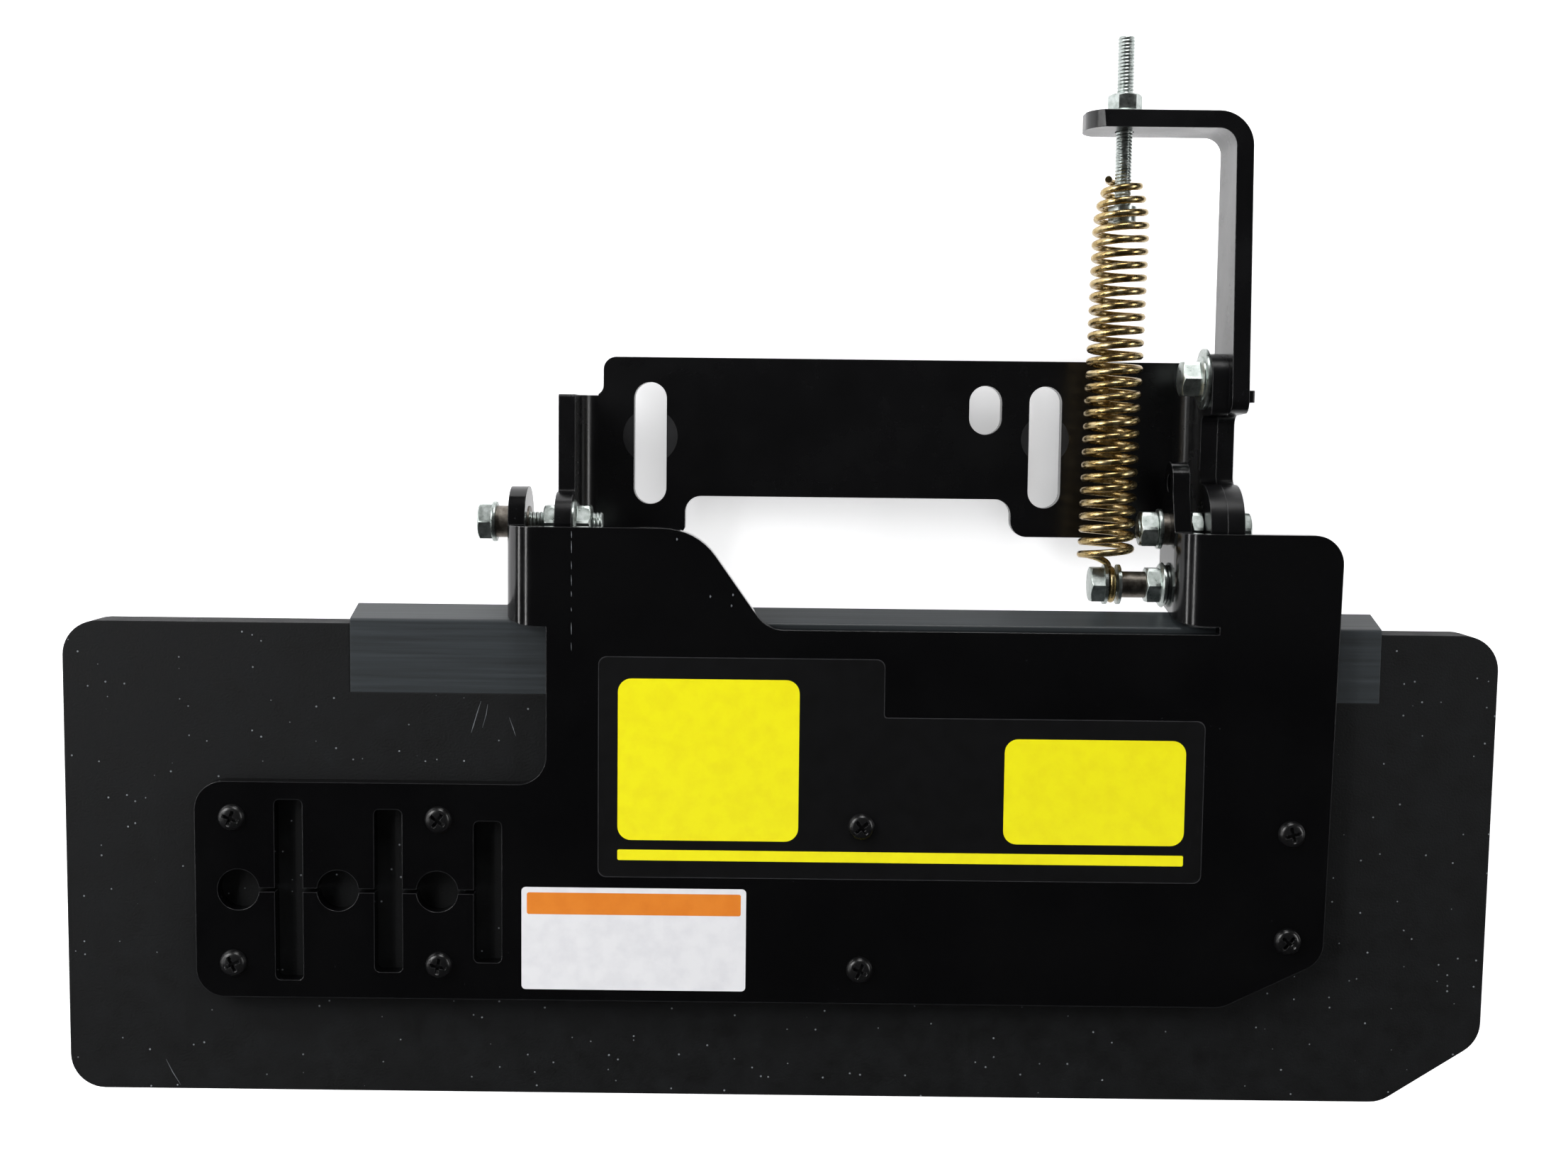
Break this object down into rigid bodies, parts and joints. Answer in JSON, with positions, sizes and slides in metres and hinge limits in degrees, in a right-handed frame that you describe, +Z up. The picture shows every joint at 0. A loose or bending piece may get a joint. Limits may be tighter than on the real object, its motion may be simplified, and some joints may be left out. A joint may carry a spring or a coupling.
{
  "type": "mower chute blocker",
  "caption": "Hinged flap that closes a mower's side discharge chute: a board on a folded steel plate, hung from a slotted hanger and pulled by a spring.",
  "frame": {"origin": "on the hanger plate's back face, midway between its two long slots", "axes": "+X to the right as seen from the front, +Y through the hanger's back face into the mower, +Z up"},
  "size_m": [0.5333, 0.0613, 0.3981],
  "materials": {
    "black_powder_coat": "gloss black powder coat",
    "recycled_board": "matte black recycled sheet with pale flecks",
    "grey_extrusion": "dark grey extruded plastic",
    "black_screw": "black oxide",
    "bright_zinc": "bright zinc plate",
    "yellow_zinc_wire": "yellow zinc plated spring wire",
    "oiled_bushing": "oiled plain steel"
  },
  "bodies": {
    "hanger": {"hanger_plate": "black_powder_coat", "spring_arm": "black_powder_coat", "arm_bolt": "bright_zinc", "arm_washer": "bright_zinc", "left_pivot_bolt": "bright_zinc", "left_pivot_washer": "bright_zinc", "left_pivot_bushing": "oiled_bushing", "left_jam_nut": "bright_zinc", "left_flange_nut": "bright_zinc", "right_pivot_bolt": "bright_zinc", "right_jam_nut": "bright_zinc", "right_pivot_bushing": "oiled_bushing", "right_pivot_washer": "bright_zinc", "right_pivot_nut": "bright_zinc", "tension_rod": "bright_zinc", "rod_nut": "bright_zinc", "spring_plug": "bright_zinc"},
    "flap": {"flap_plate": "black_powder_coat", "flap_board": "recycled_board", "edge_strip": "grey_extrusion", "plate_screws": "black_screw", "board_nuts": "bright_zinc", "anchor_bolt": "bright_zinc", "anchor_washers": "bright_zinc", "anchor_spacer": "oiled_bushing", "anchor_flange_nut": "bright_zinc", "anchor_lock_washer": "bright_zinc", "anchor_back_nut": "bright_zinc"},
    "spring_body": {"spring": "yellow_zinc_wire"}
  },
  "joints": [
    {"name": "flap_hinge", "type": "hinge", "parent": "hanger", "child": "flap", "pos_m": [0, -0.033, -0.03], "axis": [-1, 0, 0], "range_deg": [0, 90]},
    {"name": "spring_swing", "type": "hinge", "parent": "hanger", "child": "spring_body", "pos_m": [0.1009, -0.031, 0.1], "axis": [-1, 0, 0], "range_deg": [0, 10.2], "deforming": ["spring"]}
  ],
  "couplings": [
    {"joint": "spring_swing", "follows": "flap_hinge", "ratio": 0.1117}
  ]
}
